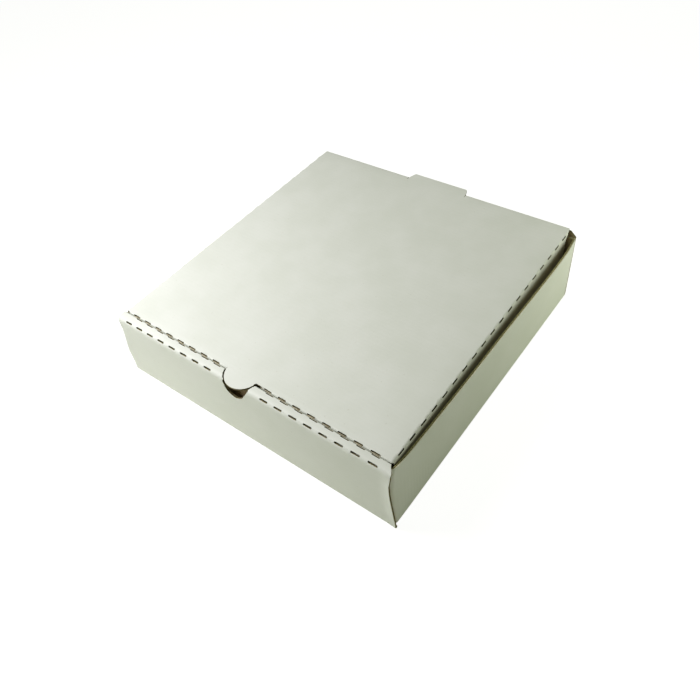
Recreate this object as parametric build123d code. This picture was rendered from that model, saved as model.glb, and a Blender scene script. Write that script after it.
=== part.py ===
from build123d import *
from math import atan2, degrees, sqrt, tan, radians
import os

# Ten inch pizza box, folded from one die-cut sheet of fine-fluted corrugated board.
# Millimetres, +Z up, the front with the thumb notch towards -Y, the lid hinged at +Y.

# Board, and the square room inside the four walls
BOARD = 1.6
INSIDE = 254.0

# Rim strip along the front, and the outside sizes
RIM = 7.0
WIDTH = INSIDE + 2 * BOARD
DEPTH = INSIDE + BOARD + RIM

# Heights: raw edges of the side walls, rim strip, and lid at its hinge crease
SIDE_TOP = 62.4
RIM_TOP = SIDE_TOP + 5.0
HINGE_TOP = RIM_TOP + 2.3

# Folds: outside radius of a crease, and the looser bend where a wall turns into its ear
CREASE = 2.2
EAR_BEND = 3.2
EAR_LENGTH = 62.0
SCORE_GAP = 0.3
LAYER_GAP = 0.4
CORNER_RELIEF = 3.0

# Perforated creases: cuts of a quarter inch with a quarter inch between them
CUT = 6.35
PITCH = 2 * CUT
CUT_WIDTH = 1.1
CUT_DEPTH = 6.4
CUTS_FRONT = 8
CUTS_SIDE = 19
RIM_ROW_START = 27.4
LID_ROW_START = 24.4
SIDE_ROW_MIDDLE = 128.0

# Lid
LID_GAP = 0.5
LID_SHOULDER = 4.2
SHOULDER_DROP = 3.6
FRONT_FLAP = 30.0
FRONT_FLAP_LEAN = 6.0
SIDE_FLAP = 38.0
FLAP_CORNER = 14.0
EAR_CORNER = 10.0

# Thumb tab at the front and stop tab at the hinge
THUMB_CHORD = 28.0
THUMB_REACH = 9.8
NOTCH_GAP = 0.9
NOTCH_RADIUS = 12.0
STOP_BASE = 58.0
STOP_TIP = 54.0
STOP_REACH = 5.8
STOP_NOTCH = 6.6

# Two tongues of the rolled front wall that hold in slots of the floor
TONGUE_WIDTH = 40.0
TONGUE_OFFSET = 62.0

THUMB_RADIUS = ((THUMB_CHORD / 2) ** 2 + THUMB_REACH**2) / (2 * THUMB_REACH)
LID_TILT = degrees(atan2(HINGE_TOP - RIM_TOP, DEPTH - RIM - LID_GAP))
LID_LENGTH = sqrt((DEPTH - RIM - LID_GAP) ** 2 + (HINGE_TOP - RIM_TOP) ** 2)
FRONT_MOST = RIM + LID_GAP - THUMB_REACH
BACK_MOST = DEPTH + STOP_REACH
MIDDLE_Y = (FRONT_MOST + BACK_MOST) / 2


def folded(points, bends):
    """Section of a folded board: the points run along its outer face, with the board on their left."""
    corners = [Vector(*point) for point in points]
    normals = [(b - a).normalized().rotate(Axis.Z, 90) for a, b in zip(corners, corners[1:])]
    inner = [corners[0] + normals[0] * BOARD]
    for corner, before, after in zip(corners[1:], normals, normals[1:]):
        inner.append(corner + (before + after) * (BOARD / (1 + before.dot(after))))
    inner.append(corners[-1] + normals[-1] * BOARD)
    outer_face = FilletPolyline(*corners, radius=bends)
    inner_face = FilletPolyline(*inner, radius=[bend - BOARD for bend in bends])
    ends = [Line(corners[0], inner[0]), Line(corners[-1], inner[-1])]
    return make_face([outer_face, inner_face, *ends])


def along_x(section, length):
    """A section drawn as (y, z), run to both sides of the middle plane."""
    return extrude(Plane.YZ * section, amount=length / 2, both=True)


def along_y(section, start, end):
    """A section drawn as (x, z), run from one depth to another."""
    return extrude(Plane.XZ.offset(-end) * section, amount=end - start)


def cuts_across(y, z, start, tilt, extra_left=0):
    """Perforating cuts along a front crease, to both sides of the thumb notch."""
    blade = Rot(tilt, 0, 0) * Box(CUT, CUT_WIDTH, CUT_DEPTH)
    left = [-start - PITCH * i for i in range(CUTS_FRONT + extra_left)]
    right = [start + PITCH * i for i in range(CUTS_FRONT)]
    return [Pos(x, y, z) * blade for x in left + right]


def cuts_along(x, middle, tilt):
    """Perforating cuts along a side crease of the lid, spread evenly about their middle."""
    blade = Rot(0, tilt, 0) * Box(CUT_WIDTH, CUT, CUT_DEPTH)
    first = middle - PITCH * (CUTS_SIDE - 1) / 2
    return [Pos(x, first + PITCH * i, -CREASE / 10) * blade for i in range(CUTS_SIDE)]


def corner_cut(size):
    """Cutter that takes a 45 degree corner off a board standing in the xz plane."""
    return Rot(0, 45, 0) * Box(size, 6 * BOARD, size)


def make_floor():
    """Floor panel with the creases that it shares with the side walls."""
    rise = 2 * CREASE
    half = WIDTH / 2
    section = folded([(-half, rise), (-half, 0), (half, 0), (half, rise)], [CREASE] * 2)
    inset = BOARD + LAYER_GAP + EAR_BEND
    return along_y(section, inset, DEPTH - inset)


def make_side_wall():
    """Right side wall, a single board with a raw top edge, and its front and rear ears."""
    half = WIDTH / 2
    front = BOARD + LAYER_GAP
    rear = DEPTH - BOARD - LAYER_GAP
    path = [
        (half - EAR_LENGTH, front),
        (half, front),
        (half, rear),
        (half - EAR_LENGTH, rear),
    ]
    wall = extrude(folded(path, [EAR_BEND] * 2), amount=SIDE_TOP - CORNER_RELIEF)
    wall = Pos(0, 0, CORNER_RELIEF) * wall
    for y in (front, rear):
        for z in (CORNER_RELIEF, SIDE_TOP):
            wall -= Pos(half - EAR_LENGTH, y, z) * corner_cut(EAR_CORNER)
    return wall


def corner_reliefs():
    """Cuts at the four corners of the floor, where the creases of two walls meet."""
    size = 3 * CREASE
    reach = WIDTH / 2 - CORNER_RELIEF + size / 2
    front = CREASE + size / 2
    return [
        Pos(x, y, BOARD / 2) * Box(size, size, BOARD + 0.2)
        for x in (-reach, reach)
        for y in (front, DEPTH - front)
    ]


def make_front_wall():
    """Front wall rolled over itself: outer panel, rim strip and inner panel in one board."""
    path = [
        (RIM, BOARD + LAYER_GAP),
        (RIM, RIM_TOP),
        (0, RIM_TOP),
        (0, 0),
        (3 * CREASE, 0),
    ]
    wall = along_x(folded(path, [CREASE] * 3), WIDTH)

    thumb_room = Cylinder(THUMB_RADIUS + NOTCH_GAP, 2 * BOARD)
    wall -= Pos(0, FRONT_MOST + THUMB_RADIUS, RIM_TOP - BOARD / 2) * thumb_room
    notch = Rot(90, 0, 0) * Cylinder(NOTCH_RADIUS, 4 * BOARD)
    wall -= Pos(0, -BOARD / 2, RIM_TOP - BOARD / 2) * notch

    wall -= cuts_across(0, RIM_TOP, RIM_ROW_START, 45)
    wall -= cuts_across(RIM, RIM_TOP, LID_ROW_START, -45)

    tongue = Box(TONGUE_WIDTH, BOARD, 2 * BOARD, align=(Align.CENTER, Align.MAX, Align.MIN))
    for side in (-1, 1):
        wall += Pos(side * TONGUE_OFFSET, RIM, 0) * tongue
    return wall


def make_back_wall():
    """Back wall up to the hinge crease, with the notch that the stop tab was cut from."""
    top = HINGE_TOP - BOARD - SCORE_GAP
    path = [(DEPTH - 3 * CREASE, 0), (DEPTH, 0), (DEPTH, top)]
    wall = along_x(folded(path, [CREASE]), WIDTH)
    notch = Box(STOP_BASE + 2 * LAYER_GAP, 4 * BOARD, 2 * STOP_NOTCH)
    return wall - Pos(0, DEPTH, top) * notch


def make_tray():
    """The lower part of the box: floor, side walls with ears, rolled front wall and back wall."""
    right_wall = make_side_wall()
    tray = make_front_wall() + make_back_wall()
    tray -= corner_reliefs()
    tray += [make_floor(), right_wall, mirror(right_wall, about=Plane.YZ)]

    slot = Box(TONGUE_WIDTH + 2 * SCORE_GAP, BOARD + 2 * SCORE_GAP, BOARD)
    slot -= Box(TONGUE_WIDTH, BOARD, BOARD)
    for side in (-1, 1):
        tray -= Pos(side * TONGUE_OFFSET, RIM - BOARD / 2, BOARD / 2) * slot
    return tray


def make_lid_panel(fold_x):
    """Lid panel with its front tuck flap, which leans inward to clear the rolled wall."""
    lean = FRONT_FLAP * tan(radians(FRONT_FLAP_LEAN))
    path = [(0, 0), (-LID_LENGTH, 0), (-LID_LENGTH + lean, -FRONT_FLAP)]
    panel = along_x(folded(path, [CREASE]), 2 * fold_x)
    hinge_edge = panel.edges().filter_by(Axis.X).group_by(Axis.Y)[-1].sort_by(Axis.Z)[-1]
    panel = fillet(hinge_edge, BOARD * 0.8)

    tab_opening = Rot(90, 0, 0) * Cylinder(THUMB_RADIUS + NOTCH_GAP / 2, 4 * CREASE)
    panel -= Pos(0, -LID_LENGTH, THUMB_RADIUS - THUMB_REACH) * tab_opening
    for side in (-1, 1):
        panel -= Pos(side * fold_x, -LID_LENGTH, -FRONT_FLAP) * corner_cut(FLAP_CORNER)
        panel -= Pos(side * fold_x, -LID_LENGTH, -FRONT_FLAP / 2 - BOARD) * Box(2 * CREASE, 6 * BOARD, FRONT_FLAP)
    return panel


def make_side_flaps(fold_x):
    """Both side tuck flaps: a sloping shoulder under the crease, then straight down the side wall."""
    flap_x = WIDTH / 2 - BOARD - LAYER_GAP
    right = [(flap_x, -SIDE_FLAP), (flap_x, -SHOULDER_DROP), (fold_x, 0)]
    path = right + [(-x, z) for x, z in right[::-1]]
    start = -LID_LENGTH + 2 * CREASE
    end = -3 * CREASE
    flaps = along_y(folded(path, [2 * CREASE, CREASE, CREASE, 2 * CREASE]), start, end)
    corner = Rot(45, 0, 0) * Box(WIDTH, FLAP_CORNER, FLAP_CORNER)
    return flaps - [Pos(0, y, -SIDE_FLAP) * corner for y in (start, end)]


def make_lid():
    """The lid in its own frame: hinge line at the origin, panel towards -Y, top at zero."""
    fold_x = WIDTH / 2 - LID_SHOULDER
    lid = make_lid_panel(fold_x) + make_side_flaps(fold_x)

    lid += Pos(0, THUMB_RADIUS - LID_LENGTH - THUMB_REACH, -BOARD / 2) * Cylinder(THUMB_RADIUS, BOARD)
    base = STOP_BASE / 2
    tip = STOP_TIP / 2
    root = -2 * CREASE
    outline = [(base, root), (base, 0), (tip, STOP_REACH)]
    stop_tab = Polygon(*outline, *[(-x, y) for x, y in outline[::-1]], align=None)
    lid += extrude(stop_tab, amount=-BOARD)

    lid -= cuts_across(-LID_LENGTH + CREASE / 3, -CREASE / 10, LID_ROW_START, 30, extra_left=1)
    for side in (-1, 1):
        lid -= cuts_along(side * fold_x, -SIDE_ROW_MIDDLE, -side * 30)
    return lid


def main():
    os.makedirs("parts", exist_ok=True)
    centred = Pos(0, -MIDDLE_Y, 0)
    closed = Pos(0, DEPTH, HINGE_TOP) * Rot(LID_TILT, 0, 0)
    export_step(centred * make_tray(), "parts/tray.step")
    export_step(centred * closed * make_lid(), "parts/lid.step")


if __name__ == "__main__":
    main()
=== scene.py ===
import bpy
import math
import numpy as np
from mathutils import Matrix, Vector
from mathutils.geometry import delaunay_2d_cdt


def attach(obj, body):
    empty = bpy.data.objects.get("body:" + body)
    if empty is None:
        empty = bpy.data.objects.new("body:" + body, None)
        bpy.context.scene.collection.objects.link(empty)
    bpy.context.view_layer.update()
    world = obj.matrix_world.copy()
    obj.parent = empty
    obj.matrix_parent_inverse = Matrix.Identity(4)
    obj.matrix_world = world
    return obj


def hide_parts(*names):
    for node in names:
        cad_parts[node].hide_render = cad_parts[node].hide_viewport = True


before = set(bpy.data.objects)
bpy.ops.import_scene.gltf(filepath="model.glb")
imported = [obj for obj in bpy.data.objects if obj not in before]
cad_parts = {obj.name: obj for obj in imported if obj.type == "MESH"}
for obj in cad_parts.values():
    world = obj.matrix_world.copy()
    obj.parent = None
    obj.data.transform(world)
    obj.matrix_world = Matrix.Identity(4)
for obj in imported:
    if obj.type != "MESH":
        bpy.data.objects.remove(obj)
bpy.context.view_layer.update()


# Camera, floor and lamps
# The camera stands in front of the box, to its right and above it, a little rolled, as it was held
# for the photograph. Two soft lamps at the left, a small one at the back right and a dim room light
# the box. Floor and room are white to the camera.

CAMERA_PLACE = (0.26173, -0.29011, 0.40516)
CAMERA_LENS = 33.741
FACES_LEFT = 43.358
FACES_DOWN = 47.515
ROLLED = 8.797
FLOOR_HALF = 8
FLOOR_PAPER = (0.86, 0.88, 0.79, 1.0)
FLOOR_GLOW = 1.27
GLOW_SHARE = 0.73
LAMP_TINT = (1.0, 0.985, 1.02)
BACK_TINT = (1.02, 1.05, 0.90)
ROOM_TINT = (1.03, 1.11, 0.82, 1.0)
ROOM_STRENGTH = 0.175
WHITE = (1.0, 1.0, 1.0, 1.0)

camera_data = bpy.data.cameras.new("camera")
camera_data.sensor_width = 36.0
camera_data.lens = CAMERA_LENS
camera_data.clip_start = 0.01
camera = bpy.data.objects.new("camera", camera_data)
bpy.context.collection.objects.link(camera)
turn = Matrix.Rotation(math.radians(FACES_LEFT), 4, "Z")
tip = Matrix.Rotation(math.radians(90 - FACES_DOWN), 4, "X")
roll = Matrix.Rotation(math.radians(-ROLLED), 4, "Z")
camera.matrix_world = Matrix.Translation(CAMERA_PLACE) @ turn @ tip @ roll
bpy.context.scene.camera = camera
bpy.context.scene.view_settings.view_transform = "Standard"


class Value:
    """A number inside a material: plus and times add its Math nodes."""

    def __init__(self, material, socket):
        self.material = material
        self.socket = socket

    def math(self, operation, *others):
        values = {index + 1: other for index, other in enumerate(others)}
        return self.material.node("ShaderNodeMath", {"operation": operation}, {0: self, **values})

    def __add__(self, other):
        return self.math("ADD", other)

    def __mul__(self, other):
        return self.math("MULTIPLY", other)


class Finish:
    """A node material, built by adding nodes and joining their sockets."""

    def __init__(self, name):
        self.data = bpy.data.materials.new(name)
        self.data.use_nodes = True
        self.tree = self.data.node_tree
        self.tree.nodes.clear()

    def node(self, kind, settings=None, sockets=None, output=0):
        """Add a node with these settings and input values, and give one of its outputs."""
        made = self.tree.nodes.new(kind)
        for key, value in (settings or {}).items():
            setattr(made, key, value)
        for key, value in (sockets or {}).items():
            socket = made.inputs[key]
            if isinstance(value, Value):
                self.tree.links.new(value.socket, socket)
            else:
                socket.default_value = value
        return Value(self, made.outputs[output]) if made.outputs else made

    def mix(self, factor, first, second):
        """Colour between two colours or colour links."""
        pair = [value if isinstance(value, Value) else (*value, 1.0) for value in (first, second)]
        return self.node("ShaderNodeMix", {"data_type": "RGBA"}, {0: factor, 6: pair[0], 7: pair[1]}, 2)

    def noise(self, place, scale, detail=3.0, roughness=0.5, stretch=(1, 1, 1)):
        """Noise from 0 to 1, in cells of about 1 / scale metres."""
        turned = self.node("ShaderNodeMapping", {}, {"Vector": place, "Scale": stretch})
        return self.node("ShaderNodeTexNoise", {}, {
            "Vector": turned, "Scale": scale, "Detail": detail, "Roughness": roughness})

    def band(self, value, low, high):
        """0 below low, 1 above high, smooth between."""
        return self.node("ShaderNodeMapRange", {"interpolation_type": "SMOOTHSTEP"}, {
            "Value": value, "From Min": low, "From Max": high})

    def surface(self, shader):
        """Finish the material with this shader."""
        self.node("ShaderNodeOutputMaterial", {}, {"Surface": shader})
        return self.data


floor_finish = Finish("studio_white")
paper = floor_finish.node("ShaderNodeBsdfDiffuse", {}, {"Color": FLOOR_PAPER})
glow = floor_finish.node("ShaderNodeEmission", {}, {"Color": WHITE, "Strength": FLOOR_GLOW})
seen = floor_finish.node("ShaderNodeLightPath", {}, {}, "Is Camera Ray")
floor_white = floor_finish.surface(
    floor_finish.node("ShaderNodeMixShader", {}, {0: seen * GLOW_SHARE, 1: paper, 2: glow}))

floor_mesh = bpy.data.meshes.new("studio_floor")
floor_corners = [(x * FLOOR_HALF, y * FLOOR_HALF, 0) for x, y in ((-1, -1), (1, -1), (1, 1), (-1, 1))]
floor_mesh.from_pydata(floor_corners, [], [(0, 1, 2, 3)])
floor = bpy.data.objects.new("studio_floor", floor_mesh)
floor_mesh.materials.append(floor_white)
bpy.context.collection.objects.link(floor)


def lamp(name, place, aim, size, watts, colour):
    """Square soft lamp, aimed at a point."""
    data = bpy.data.lights.new(name, "AREA")
    data.size = size
    data.energy = watts
    data.color = colour
    made = bpy.data.objects.new(name, data)
    facing = (Vector(place) - Vector(aim)).to_track_quat("Z", "Y").to_matrix().to_4x4()
    made.matrix_world = Matrix.Translation(place) @ facing
    bpy.context.collection.objects.link(made)


lamp("near_lamp", (-0.275, -0.265, 0.45), (-0.08, -0.08, 0.05), 0.25, 2.45, LAMP_TINT)
lamp("left_lamp", (-0.50, 0.0, 0.80), (0.0, 0.0, 0.03), 0.35, 0.85, LAMP_TINT)
lamp("back_lamp", (0.34, 0.25, 0.14), (0.13, 0.20, 0.03), 0.2, 0.42, BACK_TINT)

room = bpy.data.worlds.new("white_room")
bpy.context.scene.world = room
room.use_nodes = True
room_nodes, join = room.node_tree.nodes, room.node_tree.links.new
dim_room = room_nodes["Background"]
white_room = room_nodes.new("ShaderNodeBackground")
for background, colour, strength in ((dim_room, ROOM_TINT, ROOM_STRENGTH), (white_room, WHITE, 1.0)):
    background.inputs["Color"].default_value = colour
    background.inputs["Strength"].default_value = strength
seen_room = room_nodes.new("ShaderNodeMixShader")
join(room_nodes.new("ShaderNodeLightPath").outputs["Is Camera Ray"], seen_room.inputs[0])
join(dim_room.outputs[0], seen_room.inputs[1])
join(white_room.outputs[0], seen_room.inputs[2])
join(seen_room.outputs[0], room_nodes["World Output"].inputs["Surface"])


# Board
# The whole box is one die-cut sheet: two paper liners, white outside and brown kraft inside, glued to
# the crests of a fluted paper between them. The flutes run from side to side of the sheet.

BOARD = 0.0016
LINER = 0.00022
FLUTE_PITCH = 0.0035
CREASE = 0.0022
LAYER_GAP = 0.0004
SHEET_HALF = 0.1900
BEND_STEPS = 5
SLIVER = 1e-11

# The fluted paper: half its thickness, its lines to a flute, and how far in from a cut it is made
FLUTE_HALF = 0.00006
FLUTE_LINES = 6
FLUTES_SEEN = 0.012

# Perforating cuts, a quarter inch on and a quarter inch off, and the liner's raised lips beside them
CUT = 0.00635
PITCH = 2 * CUT
LIP_WIDTH = 0.0009
LIP_HEIGHT = 0.00034
LIP_ROOT = 0.00015
LIP_PAPER = 0.00016

# The board's materials, in the order of board_finish
COAT, SHADED, CUT_EDGE, KRAFT, PAINTED_LIGHT_SLOT = range(5)


def fold_path(points, bends):
    """Outer face of a folded board: the length along it, the place, the outward normal and the
    lengths of each bend's six lines."""
    corners = [np.array(point, float) for point in points]
    places = [corners[0]]
    bend_lines = []
    for before, corner, after, bend in zip(corners, corners[1:], corners[2:], bends):
        come = (corner - before) / np.linalg.norm(corner - before)
        go = (after - corner) / np.linalg.norm(after - corner)
        turning = math.atan2(come[0] * go[1] - come[1] * go[0], come @ go)
        cut = bend * math.tan(abs(turning) / 2)
        side = math.copysign(1.0, turning)
        centre = corner - come * cut + side * bend * np.array([-come[1], come[0]])
        spoke = corner - come * cut - centre
        for step in range(BEND_STEPS + 1):
            angle = turning * step / BEND_STEPS
            c, s = math.cos(angle), math.sin(angle)
            places.append(centre + np.array([c * spoke[0] - s * spoke[1], s * spoke[0] + c * spoke[1]]))
            bend_lines.append(len(places) - 1)
    places.append(corners[-1])
    places = np.array(places)
    runs = np.diff(places, axis=0)
    lengths = np.linalg.norm(runs, axis=1)
    runs = runs / lengths[:, None]
    tangents = np.vstack([runs[:1], runs[:-1] + runs[1:], runs[-1:]])
    tangents = tangents / np.linalg.norm(tangents, axis=1)[:, None]
    normals = np.column_stack([tangents[:, 1], -tangents[:, 0]])
    along = np.concatenate([[0.0], np.cumsum(lengths)])
    return {"along": along, "place": places, "normal": normals, "bends": along[bend_lines]}


def follow(path, along):
    """Places and outward normals at these lengths along a folded face."""
    place = np.column_stack([np.interp(along, path["along"], path["place"][:, i]) for i in (0, 1)])
    normal = np.column_stack([np.interp(along, path["along"], path["normal"][:, i]) for i in (0, 1)])
    return place, normal / np.linalg.norm(normal, axis=1)[:, None]


def both_sides(right, left=None):
    """Closed outline from its right half, which runs from middle line to middle line, and its left
    half, drawn as if it were a right one."""
    mirrored = [(-x, y) for x, y in (left or right)[::-1] if x > 1e-9]
    return list(right) + mirrored


def inside(points, loop):
    """Which points lie within a closed loop."""
    loop = np.array(loop)
    after = np.roll(loop, -1, axis=0)
    x, y = points[:, :1], points[:, 1:]
    crosses = (loop[:, 1] > y) != (after[:, 1] > y)
    rise = np.where(after[:, 1] == loop[:, 1], 1.0, after[:, 1] - loop[:, 1])
    at = loop[:, 0] + (y - loop[:, 1]) * (after[:, 0] - loop[:, 0]) / rise
    return (crosses & (x < at)).sum(axis=1) % 2 == 1


def cut_sheet(outline, holes, across, along):
    """Flat sheet cut to an outline with holes, divided by lines at these x (across) and y (along)."""
    points, edges = [], []
    for loop in [outline, *holes]:
        first = len(points)
        points += [Vector(point) for point in loop]
        edges += [(first + i, first + (i + 1) % len(loop)) for i in range(len(loop))]
    bound = np.array(outline)
    low, high = bound.min(axis=0) - 0.001, bound.max(axis=0) + 0.001
    for x in across:
        edges.append((len(points), len(points) + 1))
        points += [Vector((x, low[1])), Vector((x, high[1]))]
    for y in along:
        edges.append((len(points), len(points) + 1))
        points += [Vector((low[0], y)), Vector((high[0], y))]
    flat, _, faces, _, _, _ = delaunay_2d_cdt(points, edges, [], 0, 1e-7)
    flat = np.array([tuple(point) for point in flat])
    faces = np.array([face for face in faces if len(face) == 3])
    a, b, c = (flat[faces[:, i]] for i in range(3))
    area = (b[:, 0] - a[:, 0]) * (c[:, 1] - a[:, 1]) - (b[:, 1] - a[:, 1]) * (c[:, 0] - a[:, 0])
    faces = faces[np.abs(area) > SLIVER]
    middles = flat[faces].mean(axis=1)
    keep = inside(middles, outline)
    for hole in holes:
        hole_box = np.array(hole)
        near = ((middles > hole_box.min(axis=0)) & (middles < hole_box.max(axis=0))).all(axis=1)
        near &= keep
        keep[near] &= ~inside(middles[near], hole)
    faces = faces[keep]
    used = np.unique(faces)
    renumber = np.full(len(flat), -1)
    renumber[used] = np.arange(len(used))
    return flat[used], renumber[faces]


def closed_layer(flat, faces, place, top, bottom):
    """Closed thin layer of the folded sheet between two depths under its outer face."""
    count = len(flat)
    vertices = np.vstack([place(flat, top), place(flat, bottom)])
    sides = np.vstack([faces[:, [0, 1]], faces[:, [1, 2]], faces[:, [2, 0]]])
    keys = np.sort(sides, axis=1)
    _, index, uses = np.unique(keys, axis=0, return_index=True, return_counts=True)
    rim = sides[index[uses == 1]]
    quads = np.column_stack([rim[:, 1], rim[:, 0], rim[:, 0] + count, rim[:, 1] + count])
    triangles = np.vstack([faces, faces[:, ::-1] + count])
    zones = np.concatenate([np.zeros(len(faces)), np.ones(len(faces)), np.full(len(quads), 2)])
    return vertices, [*triangles.tolist(), *quads.tolist()], zones.astype(int), np.vstack([flat, flat])


def board_piece(name, layers, materials, body):
    """One mesh from several layers. Each layer gives a material for its top, bottom and cut edge."""
    vertices, faces, slots, blank = [], [], [], []
    for (layer_vertices, layer_faces, zones, layer_flat), zone_slots in layers:
        first = len(blank)
        vertices += layer_vertices.tolist()
        faces += [[first + i for i in face] for face in layer_faces]
        slots += [zone_slots[zone] for zone in zones]
        blank += layer_flat.tolist()
    mesh = bpy.data.meshes.new(name)
    mesh.from_pydata(vertices, [], faces)
    for material in materials:
        mesh.materials.append(material)
    mesh.polygons.foreach_set("material_index", slots)
    loops = np.empty(len(mesh.loops), int)
    mesh.loops.foreach_get("vertex_index", loops)
    sheet_map = mesh.uv_layers.new(name="sheet")
    sheet_map.data.foreach_set("uv", np.array(blank)[loops].ravel())
    mesh.shade_smooth()
    mesh.set_sharp_from_angle(angle=math.radians(40))
    piece = bpy.data.objects.new(name, mesh)
    bpy.context.collection.objects.link(piece)
    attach(piece, body)
    return piece


def wavy(place, top, bottom):
    """The fluted paper's own place: its depth swings between the liners along the sheet."""
    def placed(flat, offset):
        swing = 0.5 + 0.5 * np.cos(2 * math.pi * flat[:, 1] / FLUTE_PITCH)
        return place(flat, top + (bottom - top) * swing + offset)
    return placed


def plain_skin(flat):
    """The outer liner's own thickness, where no cutting rule has crushed the board."""
    return np.full(len(flat), LINER)


def board_layers(outline, holes, across, along, place, skin=plain_skin, uncut=0):
    """Outer liner, inner liner and, as deep as the cut edges let one see, the fluted paper. The last
    holes, as many as uncut says, leave the inner liner whole."""

    def inner_skin(flat):
        return np.maximum(skin(flat) / 2, LINER)

    flat, faces = cut_sheet(outline, holes, across, along)
    outer = closed_layer(flat, faces, place, 0.0, skin(flat))
    flat, faces = cut_sheet(outline, holes[:len(holes) - uncut], across, along)
    inner = closed_layer(flat, faces, place, BOARD - inner_skin(flat), BOARD)

    low, high = min(y for _, y in outline), max(y for _, y in outline)
    first_crest, last_crest = math.floor(low / FLUTE_PITCH), high / FLUTE_PITCH
    crests = np.arange(first_crest, last_crest, 1 / FLUTE_LINES) * FLUTE_PITCH
    flat, faces = cut_sheet(outline, holes, across, crests)
    middles = flat[faces].mean(axis=1)
    near = np.zeros(len(middles), bool)
    for loop in [outline, *holes]:
        for point in edge_points(loop):
            near |= (np.abs(middles - point) < FLUTES_SEEN).all(axis=1)
    waves = wavy(place, skin(flat) + FLUTE_HALF, BOARD - inner_skin(flat) - FLUTE_HALF)
    flutes = closed_layer(flat, faces[near], waves, -FLUTE_HALF, FLUTE_HALF)
    # The inner liner's cut edge and the flutes take the kraft that is painted paler near the side
    # walls' top edges, a painted light
    return [(outer, (COAT, SHADED, CUT_EDGE)), (inner, (SHADED, KRAFT, PAINTED_LIGHT_SLOT)), (flutes, [PAINTED_LIGHT_SLOT] * 3)]


def edge_points(loop, step=0.006):
    """Points every few millimetres along a closed loop."""
    loop = np.array(loop)
    found = []
    for start, end in zip(loop, np.roll(loop, -1, axis=0)):
        parts = max(1, int(np.linalg.norm(end - start) / step))
        found += [start + (end - start) * i / parts for i in range(parts)]
    return np.array(found)


def slot_hole(x, y, long_x, long_y):
    """Perforating cut in the flat sheet, with rounded ends."""
    half_x, half_y = long_x / 2, long_y / 2
    nose = min(half_x, half_y)
    points = []
    for quarter, (sx, sy) in enumerate([(1, 1), (-1, 1), (-1, -1), (1, -1)]):
        for angle in (10, 45, 80):
            turned = math.radians(angle + 90 * quarter)
            points.append((x + sx * (half_x - nose) + nose * math.cos(turned),
                           y + sy * (half_y - nose) + nose * math.sin(turned)))
    return points


def lip_tree():
    """Node group for the raised liner edges beside a row of perforating cuts, on the flat blank."""
    tree = bpy.data.node_groups.new("cut_lips", "GeometryNodeTree")
    ports = {}
    for name, kind in (
            ("First", "Vector"), ("Step", "Vector"), ("Cuts", "Int"), ("Length", "Float"),
            ("Width", "Float"), ("Height", "Float"), ("Turn", "Float"), ("Seed", "Int"),
            ("Paper", "Material")):
        port = tree.interface.new_socket(name, in_out="INPUT", socket_type="NodeSocket" + kind)
        ports[name] = port.identifier
    tree.interface.new_socket("Geometry", in_out="OUTPUT", socket_type="NodeSocketGeometry")
    given = tree.nodes.new("NodeGroupInput").outputs

    def add(kind, settings=None, sockets=None, output=0):
        made = tree.nodes.new(kind)
        for key, value in (settings or {}).items():
            setattr(made, key, value)
        for key, value in (sockets or {}).items():
            if isinstance(value, bpy.types.NodeSocket):
                tree.links.new(value, made.inputs[key])
            else:
                made.inputs[key].default_value = value
        return made.outputs[output]

    def sums(operation, first, second):
        return add("ShaderNodeMath", {"operation": operation}, {0: first, 1: second})

    row = add("GeometryNodeMeshLine", {"mode": "OFFSET", "count_mode": "TOTAL"}, {
        "Count": given["Cuts"], "Start Location": given["First"], "Offset": given["Step"]})
    strip = add("GeometryNodeMeshGrid", {}, {
        "Size X": given["Length"], "Size Y": given["Width"], "Vertices X": 8, "Vertices Y": 4})
    place = add("ShaderNodeSeparateXYZ", {}, {0: add("GeometryNodeInputPosition")}).node.outputs
    end_fade = sums("SUBTRACT", 1.0, sums("POWER", sums("ABSOLUTE", sums(
        "DIVIDE", place["X"], sums("MULTIPLY", given["Length"], 0.5)), 0.0), 3.0))
    slope = sums("SUBTRACT", 0.5, sums("DIVIDE", place["Y"], given["Width"]))
    lift = sums("MULTIPLY", sums("MULTIPLY", given["Height"], end_fade), sums("POWER", slope, 1.6))
    rise = add("ShaderNodeCombineXYZ", {}, {"Z": sums("SUBTRACT", lift, LIP_ROOT)})
    raised = add("GeometryNodeSetPosition", {}, {"Geometry": strip, "Offset": rise})
    thick = add("GeometryNodeExtrudeMesh", {"mode": "FACES"}, {
        "Mesh": raised, "Offset Scale": LIP_PAPER, "Individual": False})
    both = add("GeometryNodeJoinGeometry")
    tree.links.new(thick, both.node.inputs[0])
    tree.links.new(add("GeometryNodeFlipFaces", {}, {0: raised}), both.node.inputs[0])
    lip = add("GeometryNodeMergeByDistance", {}, {"Geometry": both, "Distance": 0.00001})
    uneven = add("FunctionNodeRandomValue", {"data_type": "FLOAT_VECTOR"}, {
        0: (0.86, 0.8, 0.45), 1: (1.0, 1.1, 1.25), "Seed": given["Seed"]})
    facing = add("ShaderNodeCombineXYZ", {}, {"Z": given["Turn"]})
    lips = add("GeometryNodeInstanceOnPoints", {}, {
        "Points": row, "Instance": lip, "Rotation": facing, "Scale": uneven})
    solid = add("GeometryNodeRealizeInstances", {}, {"Geometry": lips})
    painted = add("GeometryNodeSetMaterial", {}, {"Geometry": solid, "Material": given["Paper"]})
    tree.links.new(painted, tree.nodes.new("NodeGroupOutput").inputs["Geometry"])
    return tree, ports


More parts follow.
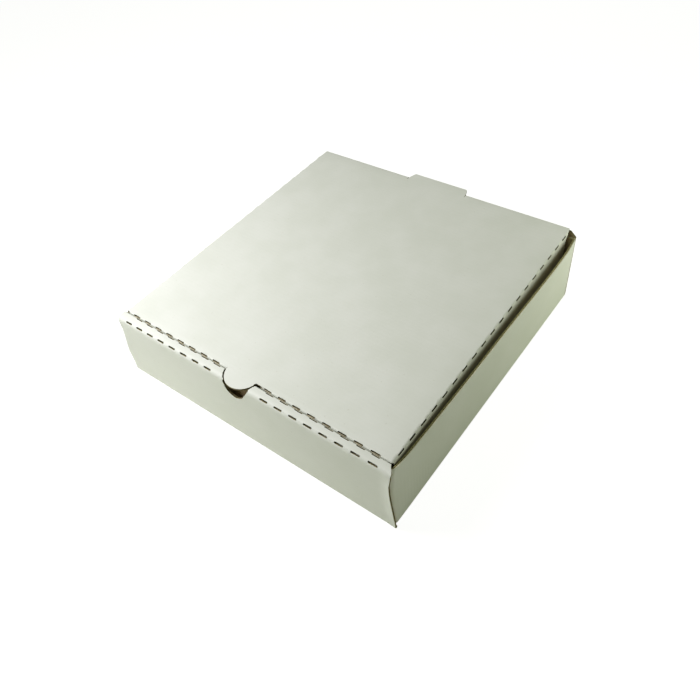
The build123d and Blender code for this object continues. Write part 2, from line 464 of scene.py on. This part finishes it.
def cut_lips(rows, place):
    """Layers of raised liner edges, folded with the sheet. Each row gives its first cut, step, number
    of cuts, turn and material."""
    tree, ports = lip_tree()
    layers = []
    for seed, (first, step, cuts, turn, paper) in enumerate(rows):
        holder = bpy.data.objects.new("cut_lips", bpy.data.meshes.new("cut_lips"))
        bpy.context.collection.objects.link(holder)
        nodes = holder.modifiers.new("cut_lips", "NODES")
        nodes.node_group = tree
        values = {
            "First": (*first, 0.0), "Step": (*step, 0.0), "Cuts": cuts, "Length": CUT,
            "Width": LIP_WIDTH, "Height": LIP_HEIGHT, "Turn": turn, "Seed": seed,
            "Paper": board_finish[paper]}
        for name, value in values.items():
            nodes[ports[name]] = value
        bpy.context.view_layer.update()
        shown = holder.evaluated_get(bpy.context.evaluated_depsgraph_get())
        mesh = bpy.data.meshes.new_from_object(shown)
        points = np.empty(3 * len(mesh.vertices))
        mesh.vertices.foreach_get("co", points)
        points = points.reshape(-1, 3)
        faces = [list(face.vertices) for face in mesh.polygons]
        bpy.data.objects.remove(holder)
        bpy.data.meshes.remove(mesh)
        flat = points[:, :2]
        layers.append(((place(flat, -points[:, 2]), faces, np.zeros(len(faces), int), flat), (paper,)))
    return layers


def on_sheet(finish):
    """Place on the flat sheet, then its distances across the sheet and along it."""
    sheet = finish.node("ShaderNodeUVMap", {"uv_map": "sheet"})
    axes = finish.node("ShaderNodeSeparateXYZ", {}, {0: sheet}).socket.node.outputs
    return sheet, Value(finish, axes["X"]), Value(finish, axes["Y"])


def white_coat():
    """White clay coat on the outer liner: satin, a little grey green, washboarded by the flutes."""
    finish = Finish("white_coat")
    sheet, _, run = on_sheet(finish)
    wander = finish.noise(sheet, 9, 2.0)
    ridges = ((run + wander * 0.0012) * (2 * math.pi / FLUTE_PITCH)).math("COSINE")
    clouds = finish.noise(sheet, 26, 4.0, 0.6)
    fibres = finish.noise(sheet, 900, 2.0, 0.6, (0.5, 1, 1))
    specks = finish.noise(sheet, 420, 1.0)
    tone = finish.mix(finish.band(clouds, 0.3, 0.72), (0.745, 0.765, 0.695), (0.785, 0.800, 0.742))
    tone = finish.mix(finish.band(specks, 0.70, 0.80) * 0.22, tone, (0.52, 0.50, 0.41))
    tone = finish.mix((ridges * 0.5 + 0.5) * 0.03, tone, (0.60, 0.62, 0.56))
    height = ridges * 0.35 + fibres * 0.35 + clouds * 0.6
    bump = finish.node("ShaderNodeBump", {}, {"Strength": 0.35, "Distance": 0.00012, "Height": height})
    rough = finish.band(clouds, 0.25, 0.8) * 0.12 + fibres * 0.06 + 0.46
    shader = finish.node("ShaderNodeBsdfPrincipled", {}, {
        "Base Color": tone, "Roughness": rough, "Normal": bump, "Specular IOR Level": 0.42})
    return finish.surface(shader)


def kraft(name, dark, light, strength, ribs=0.0, painted_edge_tone=None):
    """Brown unbleached paper with long fibres, darker flecks and the print of the flutes behind it.
    A paler colour is painted near the raw top edges of the side walls: painted light on those shaded
    edges."""
    finish = Finish(name)
    sheet, sideways, run = on_sheet(finish)
    ridges = (run * (2 * math.pi / FLUTE_PITCH)).math("COSINE") * 0.5 + 0.5
    fibres = finish.noise(sheet, 700, 3.0, 0.6, (0.35, 1, 1))
    clouds = finish.noise(sheet, 40, 3.0)
    flecks = finish.noise(sheet, 380, 1.0, 0.5, (0.6, 1, 1))
    deep = tuple(0.5 * part for part in dark)
    tone = finish.mix(finish.band(fibres * 0.6 + clouds * 0.4, 0.3, 0.7), dark, light)
    tone = finish.mix(finish.band(flecks, 0.66, 0.78) * 0.5, tone, deep)
    tone = finish.mix(ridges * ribs, tone, deep)
    if painted_edge_tone:
        # Painted light: paler over the last 3 mm towards the raw top edges of the side walls
        near_edge = finish.band(sideways.math("ABSOLUTE"), SHEET_HALF - 0.0030, SHEET_HALF - 0.0004)
        tone = finish.mix(near_edge, tone, painted_edge_tone)
    height = fibres + ridges * ribs * 2
    bump = finish.node("ShaderNodeBump", {}, {
        "Strength": strength, "Distance": 0.0001, "Height": height})
    shader = finish.node("ShaderNodeBsdfPrincipled", {}, {
        "Base Color": tone, "Roughness": fibres * 0.12 + 0.74, "Normal": bump,
        "Specular IOR Level": 0.25})
    return finish.surface(shader)


FLUTE_BROWNS = (0.14, 0.115, 0.05), (0.32, 0.27, 0.13)
coat = white_coat()
kraft_flute = kraft("kraft_flute", *FLUTE_BROWNS, 0.5)
# Flute brown with painted light: paler near the side walls' raw top edges, which lie in shade
kraft_painted_light = kraft("kraft_painted_light", *FLUTE_BROWNS, 0.5, 0.0, (0.62, 0.58, 0.27))
kraft_edge = kraft("pale_cut_edge", (0.64, 0.60, 0.42), (0.80, 0.77, 0.60), 0.5)
kraft_liner = kraft("kraft_liner", (0.48, 0.365, 0.20), (0.64, 0.52, 0.32), 0.35, 0.3)
board_finish = [coat, kraft_flute, kraft_edge, kraft_liner, kraft_painted_light]


# Tray
# Floor, side walls with ears, back wall, and the front wall, which is rolled over itself along two
# perforated creases. All one sheet, so all one piece: it is folded here from its flat blank.

HALF = 0.1286
DEPTH = 0.2626
RIM = 0.0082
FRONT_SKEW = 0.0045
RIM_BEND = 0.0014
ROLL_BEND = 0.0034
RIM_TOP = 0.0674
SIDE_TOP = 0.0624
HINGE_TOP = 0.0697
BACK_TOP = HINGE_TOP - 0.0025
EAR_BEND = (0.0016, 0.0012)
EAR_LENGTH = 0.062
EAR_FRONT = BOARD + 0.0012
EAR_REAR = DEPTH - BOARD - LAYER_GAP
EAR_CORNER = 0.00707
RELIEF = 0.003
WALL_LOW = 0.0012
INNER_LOW = 0.002
TONGUE_LOW = 0.0002
MIDDLE_Y = 0.13305
LEFT_PITCH = 0.975 * PITCH
CUTS_FRONT = 8
TONGUE = (0.042, 0.082)
SLOT_GAP = 0.0003
THUMB_RADIUS = 0.0139
THUMB_CENTRE = 0.0116
TAB_X = -0.0010
FRONT_CUT = 0.0071
CUT_WIDTH = 0.0014
BACK_HALF = 0.1281
STOP_HALF = 0.0294
STOP_NOTCH = 0.0066
END_CRUSH = 0.0004
TOP_CRUSH = 0.0006

# How far this box has settled from square, and how far along the side walls that reaches
BOW = 0.0020
SPLAY = 0.0019
FLARE, FLARE_REACH = 0.0054, 0.07
DENT, DENT_REACH = 0.0022, 0.011
CORNER_UP, UP_REACH = 0.0024, 0.012
CORNER_BACK, BACK_REACH = 0.0030, 0.03

# The thumb notch in the front panel, in millimetres from the middle and below the roll
NOTCH = [
    (11.9, -1.2), (10.9, 0.6), (9.4, 3.0), (7.7, 5.2), (5.9, 8.3), (3.9, 10.6), (1.5, 12.5),
    (-0.8, 13.6), (-2.9, 14.1), (-5.0, 14.0), (-7.0, 13.3), (-8.8, 11.8), (-10.2, 9.6),
    (-11.0, 7.0), (-11.5, 4.2), (-11.7, 1.4), (-11.3, -1.4)]

middle_path = fold_path(
    [(RIM, 0), (RIM, RIM_TOP), (0, RIM_TOP), (0, 0), (DEPTH, 0), (DEPTH, BACK_TOP)],
    [RIM_BEND, ROLL_BEND, CREASE, CREASE])
side_start = HALF - 0.01
side_path = fold_path([(side_start, 0), (HALF, 0), (HALF, SIDE_TOP)], [CREASE])
plan_path = fold_path(
    [(HALF - EAR_LENGTH, EAR_FRONT), (HALF, EAR_FRONT),
     (HALF, EAR_REAR), (HALF - EAR_LENGTH, EAR_REAR)],
    EAR_BEND)

# Where the bends fall on the flat blank, measured from the front wall's tucked edge
front_bends = middle_path["bends"]
rim_back, rim_front = front_bends[5], front_bends[6]
roll_low, floor_start = front_bends[11], front_bends[17]
to_floor = floor_start - CREASE
top_x = side_start + side_path["along"][-1]
wall_front = EAR_FRONT + EAR_BEND[0]
wall_rear = EAR_REAR - EAR_BEND[1]
wall_turn = plan_path["bends"][5]


def smooth(value, low, high):
    """0 at low, 1 at high, smooth between."""
    t = np.clip((value - low) / (high - low), 0, 1)
    return t * t * (3 - 2 * t)


# How far the front wall's two ends stand out sideways, and how far the right one curls forward, at
# these lengths along the blank
end_lengths = [0, front_bends[0], rim_back, front_bends[8],
               *(roll_low + np.array([0.0028, 0.0098, 0.0188, 0.0268, 0.0388, 0.0518])), floor_start]
right_end = [
    -0.002, -0.003, -0.0024, 0.0012, 0.0008, -0.0001, 0.0001, 0.0005, 0.0012, 0.0014, 0.0012]
right_curl = [0, 0, 0, 0, 0.0006, 0.0014, 0.0018, 0.0019, 0.0018, 0.0011, 0.0002]
left_end = [
    0.0024, 0.0026, 0.0030, 0.0042, 0.0034, 0.0028, 0.0004, -0.0020, -0.0052, -0.0056, -0.0072]


def settled(x, y, z):
    """How far the walls stand out from square: both bow outward, the left one flares at its foot near
    the front, and the right one leans out at the back and is dented behind the front wall's end."""
    bow = BOW * np.sin(math.pi * np.clip(y / DEPTH, 0, 1)) * z / SIDE_TOP
    flare = FLARE * smooth(-z, -0.045, -0.014) * np.exp(-(y / FLARE_REACH) ** 2)
    splay = SPLAY * smooth(y, 0.5 * DEPTH, 0.88 * DEPTH) * (1 - 0.8 * smooth(y, 0.92 * DEPTH, DEPTH))
    splay = splay * z / SIDE_TOP
    dent = DENT * np.sin(math.pi * np.clip(z / SIDE_TOP, 0, 1)) * np.exp(-(y / DENT_REACH) ** 2)
    return (np.where(x > 0, bow + splay - dent, -bow - flare)) * (np.abs(x) / HALF) ** 4


def tray_place(flat, depth):
    """Place of a point of the flat blank once the tray is folded, at a depth under the outer face."""
    x, v = flat[:, 0], flat[:, 1]
    depth = np.broadcast_to(depth, x.shape)
    away = np.abs(x)
    hand = np.where(x < 0, -1.0, 1.0)
    y = v - to_floor
    place, normal = follow(middle_path, v)
    pulled = np.where(
        x > 0, np.interp(v, end_lengths, right_end) * smooth(away, HALF - 0.03, HALF),
        np.interp(v, end_lengths, left_end) * (away / HALF) ** 2)
    middle = np.column_stack([
        x + np.where(v < floor_start, pulled, 0.0),
        place[:, 0] - normal[:, 0] * depth, place[:, 1] - normal[:, 1] * depth])
    middle[:, 1] -= FRONT_SKEW * x * np.interp(v, [rim_back, rim_front], [1, 0])
    on_front = v < floor_start
    curled = np.interp(v, end_lengths, right_curl) * np.clip((x - HALF + 0.010) / 0.010, 0, 1) ** 2
    middle[:, 1] -= np.where(on_front, curled, 0.0)
    middle[:, 0] += np.where(on_front, 0.0, settled(x, middle[:, 1], middle[:, 2]))
    rise, lean = follow(side_path, away - side_start)
    plan, outward = follow(plan_path, y - wall_front + wall_turn)
    back_off = HALF - rise[:, 0] + lean[:, 0] * depth
    side = np.column_stack([
        hand * (plan[:, 0] - outward[:, 0] * back_off),
        plan[:, 1] - outward[:, 1] * back_off,
        rise[:, 1] - lean[:, 1] * depth])
    side[:, 0] += settled(side[:, 0], side[:, 1], side[:, 2])
    near_corner = np.where(x > 0, 1 - smooth(y, wall_front, wall_front + BACK_REACH), 0)
    near_top = np.where(x > 0, 1 - smooth(y, wall_front, wall_front + UP_REACH), 0)
    near_top = near_top * smooth(away, HALF, top_x)
    side[:, 2] += CORNER_UP * near_top
    turned = smooth(np.abs(side[:, 0]), HALF - 0.004, HALF - 0.0005)
    side[:, 1] += CORNER_BACK * near_corner * np.clip(side[:, 2] / SIDE_TOP, 0, 1) * turned
    on_wall = (y > wall_front - 1e-6) & (y < wall_rear + 1e-6) & (away > HALF - 2 * CREASE)
    beyond = away > HALF + 0.0001
    made = np.where((on_wall | beyond)[:, None], side, middle)
    made[:, 1] -= MIDDLE_Y
    return made


def rim_at(y):
    """Length along the blank at a depth y on the rim strip and on the bend in front of it."""
    if y < ROLL_BEND:
        return rim_front + ROLL_BEND * math.asin(1 - y / ROLL_BEND)
    return rim_back + (RIM - RIM_BEND - y) * (rim_front - rim_back) / (RIM - RIM_BEND - ROLL_BEND)


# Outline of the flat blank
wall_edge = to_floor + wall_front
wall_back_edge = to_floor + wall_rear
low_x = top_x - (SIDE_TOP - WALL_LOW)
blank_end = middle_path["along"][-1]
front_ear = wall_edge - wall_turn
back_ear = wall_back_edge + wall_turn
crease_end = to_floor + CREASE
far_crease = to_floor + DEPTH - CREASE
tray_outline = both_sides([
    (0.0, INNER_LOW), (TONGUE[0], INNER_LOW), (TONGUE[0], TONGUE_LOW), (TONGUE[1], TONGUE_LOW),
    (TONGUE[1], INNER_LOW), (HALF, INNER_LOW), (HALF, crease_end), (HALF - RELIEF, crease_end),
    (HALF - RELIEF, wall_edge), (low_x, wall_edge),
    (low_x, front_ear + EAR_CORNER), (low_x + EAR_CORNER, front_ear),
    (top_x - EAR_CORNER, front_ear), (top_x, front_ear + EAR_CORNER),
    (top_x, back_ear - EAR_CORNER), (top_x - EAR_CORNER, back_ear),
    (low_x + EAR_CORNER, back_ear), (low_x, back_ear - EAR_CORNER),
    (low_x, wall_back_edge), (HALF - RELIEF, wall_back_edge), (HALF - RELIEF, far_crease),
    (BACK_HALF, far_crease), (BACK_HALF, blank_end - 0.0046), (BACK_HALF - 0.0012, blank_end - 0.0034),
    (BACK_HALF - 0.0048, blank_end), (STOP_HALF, blank_end),
    (STOP_HALF, blank_end - STOP_NOTCH), (0.0, blank_end - STOP_NOTCH)])

# Holes in the blank: thumb notch, slots for the tongues, perforating cuts
notch_ring = THUMB_RADIUS + 0.0009
rim_gaps = [(math.sqrt(notch_ring**2 - (THUMB_CENTRE - y) ** 2), rim_at(y))
            for y in np.linspace(RIM, 0.0011, 7)]
thumb_hole = [(TAB_X - 0.0138, 0.0655), (TAB_X + 0.0145, 0.0655), (0.0139, rim_at(0.0077)),
              (0.0128, rim_at(0.0055)), (0.0120, rim_at(0.0028)), (0.0121, rim_at(0.0010))]
thumb_hole += [(x / 1000, roll_low + (drop - 1.2) / 1000) for x, drop in NOTCH]
thumb_hole += [(TAB_X - reach - 0.0004, at) for reach, at in rim_gaps[::-1]]

outer_fold = (rim_front + roll_low) / 2 - 0.0004
inner_fold = front_bends[0] + (rim_back - front_bends[0]) * 0.72
slot_front, slot_rear = to_floor + RIM - BOARD - SLOT_GAP, to_floor + RIM + SLOT_GAP
tray_holes = [thumb_hole]
for hand in (-1, 1):
    near_x, far_x = hand * (TONGUE[0] - SLOT_GAP), hand * (TONGUE[1] + SLOT_GAP)
    tray_holes.append(
        [(near_x, slot_front), (far_x, slot_front), (far_x, slot_rear), (near_x, slot_rear)])
outer_row = [(0.0266, PITCH), (-0.0274, -PITCH)]
inner_row = [(0.0274, PITCH), (-0.0230, -LEFT_PITCH)]
for rows, fold in ((outer_row, outer_fold), (inner_row, inner_fold)):
    for first, step in rows:
        for index in range(CUTS_FRONT):
            tray_holes.append(slot_hole(first + step * index, fold, FRONT_CUT, CUT_WIDTH))

# Lines that divide the blank, closest where it bends or curls
side_lines = side_start + side_path["bends"]
near_ends = [
    BACK_HALF - 0.0008, top_x - 0.0008, *(HALF - np.array([0.0008, 0.0028, 0.0052, 0.0076, 0.010]))]
tray_across = sorted([*side_lines, *(-side_lines), *np.linspace(-top_x, top_x, 31)[1:-1],
                      *near_ends, *(-np.array(near_ends))])
ear_lines = [wall_edge - wall_turn + bend for bend in plan_path["bends"][:6]]
ear_lines += [wall_back_edge - plan_path["bends"][6] + bend for bend in plan_path["bends"][6:]]
tray_along = sorted([
    *front_bends, *end_lengths[4:10], *ear_lines, *np.linspace(front_ear, back_ear, 45)[1:-1]])
lip_off = CUT_WIDTH / 2 + 0.0004
lip_row = outer_fold - lip_off
tray_lips = cut_lips(
    [((first, lip_row), (step, 0), CUTS_FRONT, math.pi, COAT) for first, step in outer_row], tray_place)


def crushed(flat):
    """Outer liner's thickness where the cutting rule crushed the ends of the front and back wall and
    the raw edges of the side walls."""
    away = np.abs(flat[:, 0])
    end = (flat[:, 1] < floor_start) & (np.abs(away - HALF) < 1e-5)
    end |= (flat[:, 1] > far_crease) & (np.abs(away - BACK_HALF) < 1e-5)
    return np.where(end, END_CRUSH, np.where(away > top_x - 1e-5, TOP_CRUSH, LINER))


tray_layers = board_layers(
    tray_outline, tray_holes, tray_across, tray_along, tray_place, crushed, uncut=2 * CUTS_FRONT)
tray = board_piece("folded_tray", tray_layers + tray_lips, board_finish, "tray")
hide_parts("tray")


# Lid
# Panel hinged on the back wall, with a tuck flap on its front and on each side, a half round thumb
# tab cut from the front flap and a stop tab cut from the back wall. Its three creases are perforated.

LID_LENGTH = 0.2539
LID_TILT = math.radians(0.51657)
FOLD_X = 0.1245
FLAP_X = 0.1232
SHOULDER = 0.0080
SHOULDER_CUT = 0.0030
FRONT_FLAP = 0.030
FRONT_LEAN = FRONT_FLAP * math.tan(math.radians(6.0))
SIDE_FLAP = 0.038
FLAP_CORNER = 0.0099
WRAP = 0.0024
THUMB_REACH = 0.0110
CUTS_SIDE = 19
SIDE_PITCH = 1.008 * PITCH
FIRST_RIGHT = 0.0238
FIRST_LEFT = 0.0260
SPREAD_RIGHT = 0.0026
SPREAD_LEFT = 0.0008
TORN_X = 0.0145
TORN_OPEN = 0.0011
STOP_ROOT = 0.029

lid_path = fold_path(
    [(0, -WRAP), (0, 0), (-LID_LENGTH, 0), (-LID_LENGTH + FRONT_LEAN, -FRONT_FLAP)],
    [CREASE, RIM_BEND])
flap_path = fold_path(
    [(0, 0), (-FOLD_X, 0), (-FLAP_X, -SHOULDER), (-FLAP_X, -SIDE_FLAP)], [0.0017, 0.002])
hinge_turn = lid_path["bends"][5]
tab_centre = -LID_LENGTH + THUMB_RADIUS - THUMB_REACH


def lid_place(flat, depth):
    """Place of a point of the flat blank once the lid is folded and closed. y is 0 at the hinge."""
    x, y = flat[:, 0], flat[:, 1]
    depth = np.broadcast_to(depth, x.shape)
    away = np.abs(x)
    hand = np.where(x < 0, -1.0, 1.0)
    place, normal = follow(lid_path, hinge_turn - CREASE - y)
    drop, lean = follow(flap_path, away)
    facing = np.column_stack([-hand * lean[:, 0], normal[:, 0], np.minimum(lean[:, 1], normal[:, 1])])
    facing = facing / np.linalg.norm(facing, axis=1)[:, None]
    made = np.column_stack([-hand * drop[:, 0], place[:, 0], place[:, 1] + drop[:, 1]])
    made = made - facing * depth[:, None]
    forward = np.clip(-y / LID_LENGTH, 0, 1)
    spread = np.where(x > 0, SPREAD_RIGHT * forward - 0.0006, SPREAD_LEFT * forward)
    made[:, 0] += hand * spread * np.clip(away / FOLD_X, 0, 1) ** 12
    torn_open = TORN_OPEN * np.exp(-((x - TORN_X) / 0.006) ** 2)
    made[:, 1] += torn_open * smooth(-y, LID_LENGTH - 0.010, LID_LENGTH)
    plain = np.column_stack([x, y, -depth])
    on_tab = (np.hypot(x - TAB_X, y - tab_centre) < THUMB_RADIUS + 0.0001) & (y < tab_centre + 0.004)
    on_stop = (away < STOP_ROOT + 0.00001) & (y > -CREASE - 0.0001)
    made = np.where((on_tab | on_stop)[:, None], plain, made)
    made[:, 1] += FRONT_SKEW * x * made[:, 1] / LID_LENGTH
    tilt_y = made[:, 1] * math.cos(LID_TILT) - made[:, 2] * math.sin(LID_TILT)
    tilt_z = made[:, 1] * math.sin(LID_TILT) + made[:, 2] * math.cos(LID_TILT)
    return np.column_stack([made[:, 0], tilt_y + DEPTH - MIDDLE_Y, tilt_z + HINGE_TOP])


# Outline of the flat blank; behind the side flaps it differs left and right
flap_front = -LID_LENGTH + 2 * CREASE
shoulder_front = -LID_LENGTH + 0.0009
shoulder_x = flap_path["bends"][5] + SHOULDER_CUT
flap_back = -3 * CREASE
lid_front = -(lid_path["along"][-1] - hinge_turn + CREASE)
lid_back = hinge_turn - CREASE
crease_low = -(lid_path["bends"][11] - hinge_turn + CREASE)
flap_x = flap_path["along"][-1]
flap_half = FOLD_X - CREASE - 0.0008
lid_side = [
    (0.0, lid_front), (FOLD_X - FLAP_CORNER, lid_front), (flap_half, lid_front + FLAP_CORNER - CREASE),
    (flap_half, crease_low), (FOLD_X - 0.0014, crease_low), (FOLD_X, shoulder_front),
    (shoulder_x - 0.0006, shoulder_front + 0.0006), (shoulder_x + 0.002, flap_front),
    (flap_x - FLAP_CORNER, flap_front), (flap_x, flap_front + FLAP_CORNER),
    (flap_x, flap_back - FLAP_CORNER), (flap_x - FLAP_CORNER, flap_back)]
lid_rear = [
    (STOP_ROOT + 0.0002, lid_back), (STOP_ROOT + 0.0002, -2 * CREASE), (STOP_ROOT, -2 * CREASE),
    (0.0282, 0.0), (0.0262, 0.0055), (0.0257, 0.0058), (0.0, 0.0058)]
lid_outline = both_sides(
    [*lid_side, (FOLD_X, flap_back), (FOLD_X - 0.0022, lid_back), *lid_rear],
    [*lid_side, (shoulder_x + 0.002, flap_back), (shoulder_x, -0.003), (FOLD_X, -0.003),
     (FOLD_X - 0.0004, lid_back), *lid_rear])

# Holes in the blank: gap around the thumb tab, tear beside it, perforating cuts
tab_gap = []
tab_root = math.degrees(math.asin((-LID_LENGTH + 0.0009 - tab_centre) / THUMB_RADIUS))
tab_angles = np.linspace(180 - tab_root, 360 + tab_root, 33)
for ring, angles in ((THUMB_RADIUS, tab_angles), (THUMB_RADIUS + 0.00045, tab_angles[::-1])):
    for turned in np.radians(angles):
        tab_gap.append((TAB_X + ring * math.cos(turned), tab_centre + ring * math.sin(turned)))

front_row = -(lid_path["bends"][6] - hinge_turn + CREASE) - 0.0014
side_row = (flap_path["bends"][0] + flap_path["bends"][5]) / 2 + 0.0004
fold_y = front_row - 0.0002
torn = [(0.0122, fold_y + 0.0004), (0.0190, fold_y - 0.0007),
        (0.0190, fold_y - 0.0014), (0.0122, fold_y - 0.0040)]
side_first = -0.0137 - (CUTS_SIDE - 1) * SIDE_PITCH
lid_holes = [tab_gap, torn]
for index in range(CUTS_FRONT + 1):
    lid_holes.append(slot_hole(-(FIRST_LEFT + LEFT_PITCH * index), front_row, FRONT_CUT, CUT_WIDTH))
for index in range(CUTS_FRONT):
    lid_holes.append(slot_hole(FIRST_RIGHT + PITCH * index, front_row, FRONT_CUT, CUT_WIDTH))
for index in range(CUTS_SIDE):
    for hand in (-1, 1):
        lid_holes.append(slot_hole(hand * side_row, side_first + SIDE_PITCH * index, CUT_WIDTH, CUT))

lid_across = sorted([
    *flap_path["bends"], *(-flap_path["bends"]), *np.linspace(-flap_x, flap_x, 27)[1:-1]])
lid_folds = [hinge_turn - CREASE - bend for bend in lid_path["bends"]]
lid_along = sorted([*lid_folds, *np.linspace(lid_front, 0, 25)[1:-1]])
lid_lips = cut_lips([
    ((FIRST_RIGHT, front_row + lip_off), (PITCH, 0), CUTS_FRONT, 0.0, COAT),
    ((-FIRST_LEFT, front_row + lip_off), (-LEFT_PITCH, 0), CUTS_FRONT + 1, 0.0, COAT),
    ((FIRST_RIGHT - 0.0006, front_row - lip_off), (PITCH, 0), CUTS_FRONT, math.pi, KRAFT),
    ((-FIRST_LEFT - 0.0006, front_row - lip_off), (-LEFT_PITCH, 0), CUTS_FRONT + 1, math.pi, KRAFT),
    ((side_row - lip_off, side_first), (0, SIDE_PITCH), CUTS_SIDE, math.pi / 2, COAT),
    ((-side_row + lip_off, side_first), (0, SIDE_PITCH), CUTS_SIDE, -math.pi / 2, COAT)], lid_place)
lid_layers = board_layers(lid_outline, lid_holes, lid_across, lid_along, lid_place)
lid = board_piece("folded_lid", lid_layers + lid_lips, board_finish, "lid")
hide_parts("lid")
